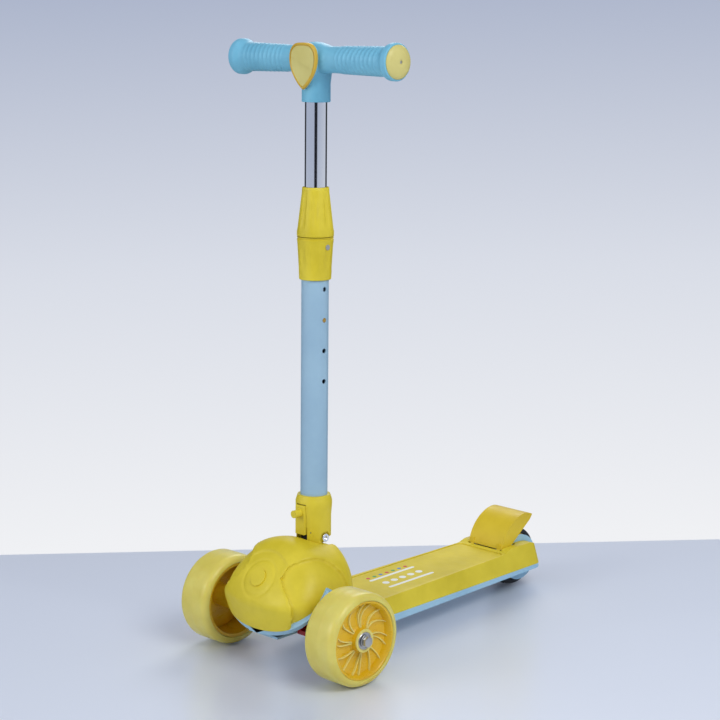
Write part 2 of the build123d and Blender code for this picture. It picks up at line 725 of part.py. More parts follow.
def latch_lever():
    """Release lever in the front of the collar, with a thumb nub and a nose that faces the lug."""
    y = (-latch_half_width, latch_half_width)
    lever = block((18.3, 25), y, (5, 43))
    lever += block((14.6, 19), y, (4.5, 11.5))
    lever += rod_x(5, (24, 36), 0, 33)
    lever -= rod_y(latch_pin_radius + running_clearance, (-20, 20), latch_pin_x, latch_pin_height)
    return on_stem(fillet(lever.edges().filter_by(Axis.Y).group_by(Axis.Z)[-1], 2))


def latch_pin():
    return on_stem(rod_y(latch_pin_radius, (-13.5, 13.5), latch_pin_x, latch_pin_height))


def fold_bolt():
    """Cap screw through the collar's fork and the lug, head on the left."""
    end = collar_radius - 3.5
    bolt = rod_y(5.5, (end, end + 4)) + rod_y(fold_bolt_radius, (-end - 3, end + 1))
    return on_stem(bolt - rod_y(2.5, (end + 2, far)))


def fold_nut():
    end = collar_radius - 3.5
    hexagon = Pos(0, -end - 4, 0) * extrude(Plane.XZ * RegularPolygon(7.0, 6), amount=-4)
    return on_stem(hexagon - rod_y(fold_bolt_radius, (-far, 0)))


def lower_tube():
    seat = lug_radius + 2
    tube = rod_z(lower_tube_radius, (seat, lower_tube_top)) - rod_z(lower_tube_bore, (0, far))
    for number in range(hole_count):
        height = pinned_hole + (number - 2) * hole_pitch
        tube -= rod_y(hole_radius, (0, 30), 0, height)
    return on_stem(tube)


def clamp_body():
    """Lower half of the height clamp, fixed on the top of the lower tube."""
    body = turned_z([(lower_tube_radius, clamp_bottom), (clamp_radius_bottom, clamp_bottom),
                     (clamp_radius_middle, clamp_split - 4), (clamp_radius_middle, clamp_split - face_gap),
                     (collet_radius, clamp_split - face_gap), (collet_radius, lower_tube_top),
                     (lower_tube_radius, lower_tube_top)])
    body -= rod_y(clamp_screw_head, (clamp_radius_middle - 2.5, far), 0, clamp_screw_height)
    return on_stem(body - rod_y(screw_radius, (10, far), 0, clamp_screw_height))


def clamp_screw():
    seat = clamp_radius_middle - 2.5
    screw = rod_y(clamp_screw_head, (seat, seat + 2), 0, clamp_screw_height)
    screw += rod_y(screw_radius, (collet_radius + 0.3, seat + 1), 0, clamp_screw_height)
    return on_stem(screw)


def clamp_collet():
    """Split sleeve that grips the upper tube."""
    bore = upper_tube_radius + running_clearance
    collet = rod_z(collet_radius, (lower_tube_top, clamp_top - 3)) - rod_z(bore, (0, 500))
    for angle in (0, 90):
        slot = block((-20, 20), (-0.6, 0.6), (clamp_split + 4, far * 2))
        collet -= Rot(0, 0, 45 + angle) * slot
    return on_stem(collet)


def clamp_nut():
    """Upper half of the height clamp, a tapered nut turned by hand."""
    bore = collet_radius + running_clearance
    nut = turned_z([(bore, clamp_split), (clamp_radius_middle, clamp_split), (clamp_radius_middle, clamp_split + 7),
                    (clamp_radius_top + 0.6, clamp_top), (bore, clamp_top)])
    for number in range(10):
        flute = Rot(0, 0, 36 * number) * rod_z(3, (clamp_split + 12, clamp_top - 8), clamp_radius_middle + 1)
        nut -= flute
    return on_stem(nut)


def upper_tube():
    tube = rod_z(upper_tube_radius, (upper_tube_bottom, upper_tube_top)) - rod_z(upper_tube_bore, (0, far * 2))
    return on_stem(tube - rod_y(hole_radius, (0, 30), 0, pinned_hole))


def tube_bushing():
    """Slide ring on the foot of the upper tube, inside the lower tube."""
    span = (upper_tube_bottom, upper_tube_bottom + 10)
    return on_stem(rod_z(lower_tube_bore - running_clearance, span) - rod_z(upper_tube_radius, (0, far)))


def snap_button():
    """Spring pin that stands through both tubes; pressed, it clears the outer one."""
    return on_stem(rod_y(button_radius, (button_foot, lower_tube_radius - 0.2), 0, pinned_hole))


def snap_spring():
    """Bent leaf inside the upper tube, behind the button."""
    wide = (-2.8, 2.8)
    spring = block(wide, (-12.4, -11.6), (262, pinned_hole + 8))
    spring += block(wide, (-12.4, button_foot), (262, 263))
    spring += block(wide, (button_foot - 0.8, button_foot), (262, pinned_hole + 4))
    return on_stem(spring)


# ---- handlebar ----
def shield(width, height, thickness):
    """Shield-shaped plate facing +X, its point at the bottom, centred across and based at z = 0."""
    half = width / 2
    side = Spline((0, 0), (half * 0.8, height * 0.34), (half, height * 0.72), tangents=[(1, 0.55), (0.0, 1)])
    top = Spline((half, height * 0.72), (half * 0.72, height * 0.92), (0, height), tangents=[(0, 1), (-1, 0)])
    right = side + top
    face = make_face(right + mirror(right, about=Plane.YZ))
    return extrude(Plane.YZ * face, amount=thickness)


def handlebar_tee():
    """Moulded tee: a socket for the upper tube, a barrel for the bar and a raised boss for the badge."""
    tee = rod_z(tee_socket_radius, (tee_bottom, bar_height))
    barrel = turned_y([(0, -tee_half_width), (grip_radius_inner, -tee_half_width), (19.2, -16),
                       (tee_barrel_radius, -4), (tee_barrel_radius, 4), (19.2, 16),
                       (grip_radius_inner, tee_half_width), (0, tee_half_width)])
    tee += Pos(0, 0, bar_height) * barrel
    depth = badge_face - badge_thickness - 6
    tee += Pos(6, 0, badge_foot + 5) * shield(badge_width * 0.84, badge_height * 0.84, depth)
    tee -= block((badge_face - badge_thickness, far), (-far, far), (0, far * 2))
    tee -= rod_z(upper_tube_radius, (0, upper_tube_top))
    tee -= rod_y(bar_tube_radius, (-far, far), 0, bar_height)
    return on_stem(tee - rod_x(screw_radius, (-40, 0), 0, tee_bottom + 20))


def tee_screw():
    """Screw through the back of the tee that holds the upper tube."""
    height = tee_bottom + 20
    head = rod_x(screw_head_radius, (-tee_socket_radius - 1.5, -tee_socket_radius + 0.2), 0, height)
    head -= rod_z(tee_socket_radius, (0, far * 2))
    shank = rod_x(screw_radius, (-tee_socket_radius - 0.5, -upper_tube_radius - 0.1), 0, height)
    return on_stem(head + shank)


def handlebar_badge():
    """Plain shield badge with a shallow crease, on the front of the tee."""
    badge = Pos(badge_face - badge_thickness, 0, badge_foot) * shield(badge_width, badge_height, badge_thickness)
    return on_stem(badge)


def bar_tube():
    tube = rod_y(bar_tube_radius, (-grip_end, grip_end)) - rod_y(bar_tube_bore, (-far, far))
    return on_stem(Pos(0, 0, bar_height) * tube)


def left_grip():
    grip = turned_y([(bar_tube_radius, tee_half_width), (grip_radius_inner, tee_half_width),
                     (grip_radius_outer, grip_end - 9), (flange_radius, grip_end), (flange_radius, bar_end),
                     (bar_tube_radius, bar_end)])
    return on_stem(Pos(0, 0, bar_height) * grip)


def left_end_cap():
    """Domed cap whose stem plugs into the bar."""
    top = bar_end + cap_dome
    cap = turned_y([(0, bar_end), (cap_radius, bar_end), (cap_radius, bar_end + 1.5), (17.0, top - 2.2),
                    (10.0, top - 0.5), (0, top)])
    cap += rod_y(bar_tube_bore, (bar_end - 20, bar_end + 1))
    return on_stem(Pos(0, 0, bar_height) * (cap - rod_y(screw_radius, (0, far))))


def end_cap_screws():
    """One screw in the middle of each cap."""
    screw = rod_y(screw_radius, (bar_end - 19, bar_end + cap_dome - 1))
    screw = on_stem(Pos(0, 0, bar_height) * screw)
    return Compound([screw, mirrored(screw)])


nodes = {
    "head_shell": head_shell(),
    "head_bowl": head_bowl(),
    "head_frame": head_frame(),
    "head_emblem": head_emblem(),
    "lean_pin": lean_pin(),
    "centring_springs": centring_springs(),
    "axle_beam": axle_beam(),
    "kingpins": kingpins(),
    "tie_rod": tie_rod(),
    "left_knuckle": left_knuckle(),
    "right_knuckle": mirrored(left_knuckle()),
    "left_axle_bolt": left_axle_bolt(),
    "right_axle_bolt": mirrored(left_axle_bolt()),
    "left_axle_nut": left_axle_nut(),
    "right_axle_nut": mirrored(left_axle_nut()),
    "deck_shell": deck_shell(),
    "deck_pad": deck_pad(),
    "deck_tray": deck_tray(),
    "chassis_screws": chassis_screws(),
    "rear_axle_bolt": rear_axle_bolt(),
    "rear_axle_nut": rear_axle_nut(),
    "rear_fender": rear_fender(),
    "brake_pin": brake_pin(),
    "brake_block": brake_block(),
    "brake_spring": brake_spring(),
    "fold_collar": fold_collar(),
    "fold_bolt": fold_bolt(),
    "fold_nut": fold_nut(),
    "latch_lever": latch_lever(),
    "latch_pin": latch_pin(),
    "lower_tube": lower_tube(),
    "clamp_body": clamp_body(),
    "clamp_screw": clamp_screw(),
    "clamp_collet": clamp_collet(),
    "clamp_nut": clamp_nut(),
    "upper_tube": upper_tube(),
    "tube_bushing": tube_bushing(),
    "snap_button": snap_button(),
    "snap_spring": snap_spring(),
    "handlebar_tee": handlebar_tee(),
    "tee_screw": tee_screw(),
    "handlebar_badge": handlebar_badge(),
    "bar_tube": bar_tube(),
    "left_grip": left_grip(),
    "right_grip": mirrored(left_grip()),
    "left_end_cap": left_end_cap(),
    "right_end_cap": mirrored(left_end_cap()),
    "end_cap_screws": end_cap_screws(),
}
for side, name in ((1, "left"), (-1, "right")):
    tyre, core, bearings = front_wheel_parts(side)
    nodes[name + "_front_tyre"] = tyre
    nodes[name + "_front_core"] = core
    nodes[name + "_front_bearings"] = bearings
rear_tyre, rear_core, rear_bearings = rear_wheel_parts()
nodes["rear_tyre"] = rear_tyre
nodes["rear_core"] = rear_core
nodes["rear_bearings"] = rear_bearings

os.makedirs("parts", exist_ok=True)
for name, solid in nodes.items():
    export_step(solid, "parts/" + name + ".step")
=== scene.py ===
import json
from math import atan2, cos, pi, radians, sin

import bmesh
import bpy
from mathutils import Matrix, Vector


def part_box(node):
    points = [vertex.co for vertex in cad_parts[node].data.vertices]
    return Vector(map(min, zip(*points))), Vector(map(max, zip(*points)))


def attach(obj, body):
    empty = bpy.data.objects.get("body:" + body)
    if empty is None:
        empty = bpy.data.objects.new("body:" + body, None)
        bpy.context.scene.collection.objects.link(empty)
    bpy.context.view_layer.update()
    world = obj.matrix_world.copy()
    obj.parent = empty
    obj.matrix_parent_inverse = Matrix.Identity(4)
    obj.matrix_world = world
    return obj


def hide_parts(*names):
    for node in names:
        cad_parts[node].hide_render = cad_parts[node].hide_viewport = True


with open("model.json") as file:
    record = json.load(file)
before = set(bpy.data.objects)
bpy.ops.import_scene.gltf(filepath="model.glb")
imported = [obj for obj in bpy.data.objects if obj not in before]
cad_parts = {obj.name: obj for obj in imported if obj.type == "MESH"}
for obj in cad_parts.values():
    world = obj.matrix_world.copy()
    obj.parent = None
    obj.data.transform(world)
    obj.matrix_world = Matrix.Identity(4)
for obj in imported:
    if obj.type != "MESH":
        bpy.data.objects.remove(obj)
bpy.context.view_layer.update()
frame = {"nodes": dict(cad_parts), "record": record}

nodes = frame["nodes"]


def middle(node):
    low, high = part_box(node)
    return (low + high) / 2


# ---------------------------------------------------------------------------------------------------
# Camera
# A long lens, low and in front of the rider's left hand, tipped a little down and a hair off level.
axle_x = middle("left_front_tyre").x
camera_data = bpy.data.cameras.new("camera")
camera_data.sensor_width = 36.0
camera_data.lens = 99.93
camera = bpy.data.objects.new("camera", camera_data)
bpy.context.scene.collection.objects.link(camera)
heading = radians(225.51)
pitch = radians(11.89)
roll = radians(-1.25)
forward = Vector((cos(heading) * cos(pitch), sin(heading) * cos(pitch), -sin(pitch)))
level_right = forward.cross(Vector((0, 0, 1))).normalized()
level_up = level_right.cross(forward)
camera_right = level_right * cos(roll) + level_up * sin(roll)
camera_up = level_up * cos(roll) - level_right * sin(roll)
camera_place = Vector((axle_x + 1.64378, 1.81843, 0.90938))
camera.matrix_world = Matrix((camera_right, camera_up, -forward)).transposed().to_4x4()
camera.location = camera_place
bpy.context.scene.camera = camera


# ---------------------------------------------------------------------------------------------------
# Studio: a pale glossy table with a straight far edge, a soft grey-blue surround and three soft lights.
def new_material(name):
    """A material with its node tree and its shader."""
    material = bpy.data.materials.new(name)
    material.use_nodes = True
    tree = material.node_tree
    return material, tree, tree.nodes["Principled BSDF"]


def add_node(tree, kind, **values):
    """A node, with its plain properties or its sockets set by name."""
    node = tree.nodes.new(kind)
    for key, value in values.items():
        socket = key.replace("_", " ")
        if socket in node.inputs:
            node.inputs[socket].default_value = value
        else:
            setattr(node, key, value)
    return node


def rgba(red, green, blue):
    """A colour given as seen on a screen, from 0 to 255, as the renderer's own numbers."""
    return tuple((c / 255 / 12.92 if c <= 10 else ((c / 255 + 0.055) / 1.055) ** 2.4) for c in
                 (red, green, blue)) + (1.0,)


def mesh_object(bm, name, sharp=38):
    """A finished object from a bmesh: doubles merged, normals out, smooth but for its sharp edges."""
    bmesh.ops.remove_doubles(bm, verts=bm.verts, dist=1e-6)
    bmesh.ops.recalc_face_normals(bm, faces=bm.faces)
    mesh = bpy.data.meshes.new(name)
    bm.to_mesh(mesh)
    bm.free()
    mesh.polygons.foreach_set("use_smooth", [True] * len(mesh.polygons))
    mesh.set_sharp_from_angle(angle=radians(sharp))
    piece = bpy.data.objects.new(name, mesh)
    bpy.context.scene.collection.objects.link(piece)
    return piece


table_bm = bmesh.new()
table_far = 2.94
table_depth = 3.4
table_width = 6.0
corners = []
flat_forward = Vector((cos(heading), sin(heading), 0))
flat_right = Vector((sin(heading), -cos(heading), 0))
ground_under_camera = Vector((camera_place.x, camera_place.y, -0.001))
for away, across in ((table_far, -1), (table_far, 1), (table_far - table_depth, 1), (table_far - table_depth, -1)):
    sideways = flat_right * across * table_width / 2
    corners.append(table_bm.verts.new(ground_under_camera + flat_forward * away + sideways))
top = table_bm.faces.new(corners)
lower = bmesh.ops.extrude_face_region(table_bm, geom=[top])
underside = [v for v in lower["geom"] if isinstance(v, bmesh.types.BMVert)]
bmesh.ops.translate(table_bm, vec=(0, 0, -0.03), verts=underside)
bmesh.ops.bevel(table_bm, geom=table_bm.edges[:], offset=0.006, segments=3, profile=0.5, affect="EDGES", material=-1)
table = mesh_object(table_bm, "table")
table_material, tree, shader = new_material("pale_table")
shader.inputs["Base Color"].default_value = rgba(226, 230, 236)
shader.inputs["Roughness"].default_value = 0.28
shader.inputs["Specular IOR Level"].default_value = 0.45
table.data.materials.append(table_material)

world = bpy.data.worlds.new("surround")
world.use_nodes = True
bpy.context.scene.world = world
tree = world.node_tree
coordinate = add_node(tree, "ShaderNodeTexCoord")
split = add_node(tree, "ShaderNodeSeparateXYZ")
ramp = add_node(tree, "ShaderNodeValToRGB")
ramp.color_ramp.elements[0].position = 0.355
ramp.color_ramp.elements[0].color = rgba(240, 241, 244)
ramp.color_ramp.elements[1].position = 0.49
ramp.color_ramp.elements[1].color = rgba(172, 181, 203)
middle_band = ramp.color_ramp.elements.new(0.42)
middle_band.color = rgba(217, 221, 231)
shift = add_node(tree, "ShaderNodeMath", operation="MULTIPLY_ADD")
shift.inputs[1].default_value = 0.5
shift.inputs[2].default_value = 0.5
tree.links.new(coordinate.outputs["Generated"], split.inputs[0])
tree.links.new(split.outputs["Z"], shift.inputs[0])
tree.links.new(shift.outputs[0], ramp.inputs[0])
# Dark flats stand each side of the set and one behind the viewer, for the polished tube to mirror.
flats = add_node(tree, "ShaderNodeVectorMath", operation="DOT_PRODUCT")
flats.inputs[1].default_value = tuple(-flat_forward * 0.5)
flats_shift = add_node(tree, "ShaderNodeMath", operation="ADD")
flats_shift.inputs[1].default_value = 0.5
flats_ramp = add_node(tree, "ShaderNodeValToRGB")
flats_ramp.color_ramp.elements[0].position = 0.045
flats_ramp.color_ramp.elements[0].color = (1, 1, 1, 1)
flats_ramp.color_ramp.elements[1].position = 1.0
flats_ramp.color_ramp.elements[1].color = (0.03, 0.03, 0.035, 1)
for place, level in ((0.07, 0.05), (0.26, 0.05), (0.33, 1.0), (0.975, 1.0), (0.99, 0.03)):
    stop = flats_ramp.color_ramp.elements.new(place)
    stop.color = (level, level, level, 1)
shade = add_node(tree, "ShaderNodeMix", data_type="RGBA", blend_type="MULTIPLY")
shade.inputs[0].default_value = 1.0
tree.links.new(coordinate.outputs["Generated"], flats.inputs[0])
tree.links.new(flats.outputs["Value"], flats_shift.inputs[0])
tree.links.new(flats_shift.outputs[0], flats_ramp.inputs[0])
tree.links.new(ramp.outputs[0], shade.inputs[6])
tree.links.new(flats_ramp.outputs[0], shade.inputs[7])
tree.links.new(shade.outputs[2], tree.nodes["Background"].inputs["Color"])
tree.nodes["Background"].inputs["Strength"].default_value = 1.0
bpy.context.scene.view_settings.view_transform = "Standard"

target = Vector((0, 0, 0.33))
for name, place, size, power in (("key_light", (0.5, 2.4, 2.4), 1.8, 48), ("side_light", (2.9, -0.9, 1.6), 1.6, 26),
                                 ("back_light", (-2.2, -1.4, 2.2), 1.8, 34)):
    light_data = bpy.data.lights.new(name, "AREA")
    light_data.shape = "RECTANGLE"
    light_data.size = size
    light_data.size_y = size * 0.7
    light_data.energy = power
    light = bpy.data.objects.new(name, light_data)
    light.location = place
    light.rotation_euler = (target - Vector(place)).to_track_quat("-Z", "Y").to_euler()
    bpy.context.scene.collection.objects.link(light)


# ---------------------------------------------------------------------------------------------------
# Moulded plastics
# Every moulding has a fine spark-eroded grain, slightly uneven colour and gloss, and faint handling
# scratches; the shades differ by part.
def moulded_plastic(name, colour, shade, roughness, grain=0.12, grain_size=1400, gloss=0.4, scatter=0.0):
    material, tree, shader = new_material(name)
    coordinate = add_node(tree, "ShaderNodeTexCoord")
    cloud = add_node(tree, "ShaderNodeTexNoise", Scale=14.0, Detail=4.0, Roughness=0.6)
    fine = add_node(tree, "ShaderNodeTexNoise", Scale=float(grain_size), Detail=3.0, Roughness=0.55)
    streaks = add_node(tree, "ShaderNodeTexNoise", Scale=60.0, Detail=6.0, Roughness=0.75, Distortion=1.2)
    stretch = add_node(tree, "ShaderNodeMapping", Scale=(1.0, 0.35, 3.0), Rotation=(0.3, 0.5, 0.2))
    ramp = add_node(tree, "ShaderNodeValToRGB")
    ramp.color_ramp.elements[0].position = 0.34
    ramp.color_ramp.elements[0].color = rgba(*shade)
    ramp.color_ramp.elements[1].position = 0.62
    ramp.color_ramp.elements[1].color = rgba(*colour)
    gloss_range = add_node(tree, "ShaderNodeMapRange")
    gloss_range.inputs["From Min"].default_value = 0.35
    gloss_range.inputs["From Max"].default_value = 0.7
    gloss_range.inputs["To Min"].default_value = roughness - 0.06
    gloss_range.inputs["To Max"].default_value = roughness + 0.08
    bump = add_node(tree, "ShaderNodeBump", Strength=grain, Distance=0.0004)
    link = tree.links.new
    for texture in (cloud, fine, stretch):
        link(coordinate.outputs["Object"], texture.inputs["Vector"])
    link(stretch.outputs[0], streaks.inputs["Vector"])
    link(cloud.outputs["Fac"], ramp.inputs[0])
    link(ramp.outputs[0], shader.inputs["Base Color"])
    link(streaks.outputs["Fac"], gloss_range.inputs["Value"])
    link(gloss_range.outputs[0], shader.inputs["Roughness"])
    link(fine.outputs["Fac"], bump.inputs["Height"])
    link(bump.outputs[0], shader.inputs["Normal"])
    shader.inputs["Specular IOR Level"].default_value = gloss
    if scatter:
        shader.inputs["Subsurface Weight"].default_value = scatter
        shader.inputs["Subsurface Radius"].default_value = (0.02, 0.015, 0.006)
        shader.inputs["Subsurface Scale"].default_value = 0.4
    return material


def metal(name, colour, roughness, brushed=0.15, scale=(1.0, 1.0, 60.0)):
    """Plated or polished metal with fine drawing marks."""
    material, tree, shader = new_material(name)
    coordinate = add_node(tree, "ShaderNodeTexCoord")
    stretch = add_node(tree, "ShaderNodeMapping", Scale=scale)
    marks = add_node(tree, "ShaderNodeTexNoise", Scale=90.0, Detail=5.0, Roughness=0.7)
    spread = add_node(tree, "ShaderNodeMapRange")
    spread.inputs["To Min"].default_value = max(roughness - 0.05, 0.02)
    spread.inputs["To Max"].default_value = roughness + 0.10
    bump = add_node(tree, "ShaderNodeBump", Strength=brushed, Distance=0.0002)
    link = tree.links.new
    link(coordinate.outputs["Object"], stretch.inputs["Vector"])
    link(stretch.outputs[0], marks.inputs["Vector"])
    link(marks.outputs["Fac"], spread.inputs["Value"])
    link(spread.outputs[0], shader.inputs["Roughness"])
    link(marks.outputs["Fac"], bump.inputs["Height"])
    link(bump.outputs[0], shader.inputs["Normal"])
    shader.inputs["Base Color"].default_value = rgba(*colour)
    shader.inputs["Metallic"].default_value = 1.0
    return material


yellow = moulded_plastic("yellow_moulding", (226, 204, 52), (210, 188, 36), 0.46, gloss=0.38)
fender_yellow = moulded_plastic("fender_moulding", (228, 198, 44), (214, 182, 30), 0.42)
pale_blue = moulded_plastic("pale_blue_moulding", (164, 203, 222), (148, 190, 212), 0.44)
turquoise = moulded_plastic("turquoise_moulding", (122, 190, 212), (108, 176, 200), 0.46)
red = moulded_plastic("red_moulding", (186, 34, 38), (164, 24, 30), 0.36)
pale_yellow = moulded_plastic("pale_yellow_moulding", (214, 202, 122), (202, 188, 104), 0.42, grain=0.3,
                              grain_size=900)
golden = moulded_plastic("golden_rim", (214, 176, 60), (200, 160, 44), 0.35)
dark = moulded_plastic("dark_moulding", (44, 44, 46), (32, 32, 34), 0.5)
tube_paint = moulded_plastic("tube_paint", (160, 192, 208), (152, 184, 202), 0.34, grain=0.05, grain_size=500)
wheel_yellow = moulded_plastic("wheel_moulding", (234, 190, 30), (222, 174, 14), 0.3, grain=0.05, gloss=0.5,
                               scatter=0.15)
cream_rib = moulded_plastic("rib_moulding", (238, 222, 130), (230, 210, 108), 0.3, grain=0.05, scatter=0.25)
tyre_rubber = moulded_plastic("translucent_tyre", (228, 214, 112), (214, 196, 84), 0.34, grain=0.10,
                              grain_size=500, scatter=0.5)
pad_rubber = moulded_plastic("pad_rubber", (224, 202, 56), (208, 186, 40), 0.55, grain=0.5, grain_size=700,
                             gloss=0.3)
black_rubber = moulded_plastic("black_rubber", (40, 40, 42), (26, 26, 28), 0.6, grain=0.4, grain_size=500)
steel = metal("zinc_plated_steel", (190, 190, 188), 0.3)
chrome = metal("polished_chrome", (236, 238, 240), 0.06, brushed=0.02)
brass = metal("brass_pin", (206, 164, 84), 0.25)

finish_of = {"yellow_shell": yellow, "blue_shell": pale_blue, "turquoise_plastic": turquoise, "red_plastic": red,
             "pad_rubber": pad_rubber, "cream_tyre": tyre_rubber, "black_tyre": black_rubber,
             "wheel_core": wheel_yellow, "pale_plastic": pale_yellow, "painted_tube": tube_paint,
             "chromed_tube": chrome, "steel": steel, "brass": brass, "dark_plastic": dark}
for entry in frame["record"]["subparts"]:
    node = nodes[entry["node"]]
    node.data.materials.clear()
    node.data.materials.append(finish_of[entry["material_slot"]])

# ---------------------------------------------------------------------------------------------------
# Front tyres
# Thick see-through soft plastic cast over the core, with round shoulders, a moulding seam round the
# middle of the tread and a thin step where the side wall meets the core.
def spun(outline, centre, axis, steps=72):
    """A closed bmesh turned from (radius, height) points about an axis through centre."""
    axis = Vector(axis).normalized()
    across = axis.orthogonal().normalized()
    bm = bmesh.new()
    ring = [bm.verts.new(Vector(centre) + across * radius + axis * height) for radius, height in outline]
    edges = [bm.edges.new(pair) for pair in zip(ring, ring[1:])]
    bmesh.ops.spin(bm, geom=ring + edges, cent=Vector(centre), axis=axis, angle=2 * pi, steps=steps, use_merge=True)
    bmesh.ops.remove_doubles(bm, verts=bm.verts, dist=1e-6)
    bmesh.ops.dissolve_degenerate(bm, dist=1e-7, edges=bm.edges)
    return bm


def round_corner(centre, radius, start, end, count=6):
    """Points of an arc in a section, from one angle to another, in degrees."""
    angles = [radians(start + (end - start) * step / count) for step in range(count + 1)]
    return [(centre[0] + radius * cos(a), centre[1] + radius * sin(a)) for a in angles]


def placed(bm, name, body, slot, material, *replaced, sharp=38):
    """The bmesh as a piece that rides on a body and stands for CAD nodes."""
    piece = mesh_object(bm, name, sharp)
    piece.data.materials.append(material)
    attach(piece, body)
    if replaced:
        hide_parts(*replaced)
    return piece


tyre_radius = 0.060
tyre_half = 0.0255
lip_radius = 0.050
for side, name in ((1, "left"), (-1, "right")):
    hub = middle(name + "_front_tyre")
    shoulder = 0.0088
    outline = [(lip_radius, -tyre_half + 0.0025), (lip_radius + 0.0008, -tyre_half + 0.0003)]
    outline += round_corner((tyre_radius - shoulder, -tyre_half + shoulder), shoulder, -90, -12)
    outline += [(tyre_radius - 0.0002, -0.012), (tyre_radius - 0.0001, -0.0012), (tyre_radius, -0.0004),
                (tyre_radius, 0.0004), (tyre_radius - 0.0001, 0.0012), (tyre_radius - 0.0002, 0.012)]
    outline += round_corner((tyre_radius - shoulder, tyre_half - shoulder), shoulder, 12, 90)
    outline += [(lip_radius + 0.0008, tyre_half - 0.0003), (lip_radius, tyre_half - 0.0025)]
    outline += [outline[0]]
    placed(spun(outline, hub, (0, 1, 0), 96), name + "_tyre", name + "_wheel", "cream_tyre", tyre_rubber,
           name + "_front_tyre")

# ---------------------------------------------------------------------------------------------------
# Front wheel cores
# One glossy moulding: a rim, a dished web and a hub for the two bearings. Sixteen thin curved ribs fan
# out from the hub in pairs, four close pairs and four that spread, in a paler second shot.
rib_turn = 0.30
pair_spread = (0.075, 0.20)
for side, name in ((1, "left"), (-1, "right")):
    hub = middle(name + "_front_tyre")
    outer = Vector((0, side, 0))
    face = tyre_half - 0.0015
    outline = [(0.0110, -face), (0.0145, -face), (0.0150, -face + 0.002), (0.0150, 0.0105), (0.0300, 0.0080),
               (0.0445, 0.0115), (0.0462, 0.0135), (0.0462, -face + 0.001), (lip_radius, -face), (lip_radius, face),
               (0.0478, face), (0.0464, face - 0.0015), (0.0440, 0.0150), (0.0300, 0.0118), (0.0180, 0.0145),
               (0.0160, 0.0170), (0.0152, face - 0.0008), (0.0145, face), (0.0110, face), (0.0110, -face)]
    placed(spun(outline, hub, outer, 96), name + "_wheel_core", name + "_wheel", "wheel_core", wheel_yellow,
           name + "_front_core", sharp=30)
    ribs = bmesh.new()
    for pair in range(8):
        spread = pair_spread[pair % 2]
        for turn in (-1, 1):
            base = 2 * pi * pair / 8
            loops = []
            for step in range(9):
                share = step / 8
                radius = 0.0158 + (0.0474 - 0.0158) * share
                angle = base + turn * (0.05 + spread * share ** 0.8) + rib_turn * share * share
                floor_height = 0.0108 + 0.0042 * abs(share - 0.45) * 1.6
                crest = 0.0178 - 0.0035 * sin(pi * share) + 0.0020 * share
                along = Vector((cos(angle), 0, sin(angle)))
                away = Vector((-sin(angle), 0, cos(angle)))
                half = 0.00095 - 0.00025 * share
                spots = ((half, floor_height), (half * 0.75, crest), (-half * 0.75, crest), (-half, floor_height))
                loops.append([ribs.verts.new(hub + along * radius + away * w + outer * h) for w, h in spots])
            for first, second in zip(loops, loops[1:]):
                for spot in range(4):
                    after = (spot + 1) % 4
                    ribs.faces.new((first[spot], first[after], second[after], second[spot]))
            ribs.faces.new(loops[0][::-1])
            ribs.faces.new(loops[-1])
    placed(ribs, name + "_wheel_ribs", name + "_wheel", "cream_tyre", cream_rib)
    collar_outline = [(0.0112, face - 0.003), (0.0150, face - 0.003), (0.0152, face - 0.0006),
                      (0.0146, face + 0.0006),
                      (0.0118, face + 0.0006), (0.0112, face), (0.0112, face - 0.003)]
    placed(spun(collar_outline, hub, outer, 64), name + "_hub_ring", name + "_wheel", "cream_tyre", cream_rib)

# ---------------------------------------------------------------------------------------------------
# Front bearings
# Stock 22 mm ball bearings: an outer race, an inner race and a thin dust shield between them.
def add_shape(target, addition):
    """Puts one bmesh into another and frees it."""
    scratch = bpy.data.meshes.new("scratch")
    addition.to_mesh(scratch)
    addition.free()
    target.from_mesh(scratch)
    bpy.data.meshes.remove(scratch)


for name, body, half_width in (("left_front", "left_wheel", tyre_half), ("right_front", "right_wheel", tyre_half),
                               ("rear", "rear_wheel", 0.018)):
    hub = middle(name + "_bearings")
    both = bmesh.new()
    for end in (-1, 1):
        outer_face = half_width - 0.001
        inner_face = outer_face - 0.00695
        outline = [(0.0042, inner_face), (0.0110, inner_face), (0.0110, outer_face - 0.0003),
                   (0.0107, outer_face), (0.0095, outer_face), (0.0093, outer_face - 0.0006),
                   (0.0064, outer_face - 0.0006), (0.0062, outer_face), (0.0044, outer_face),
                   (0.0042, outer_face - 0.0003), (0.0042, inner_face)]
        ring = spun(outline, hub, (0, end, 0), 48)
        add_shape(both, ring)
    placed(both, name + "_ball_bearings", body, "steel", steel, name + "_bearings")

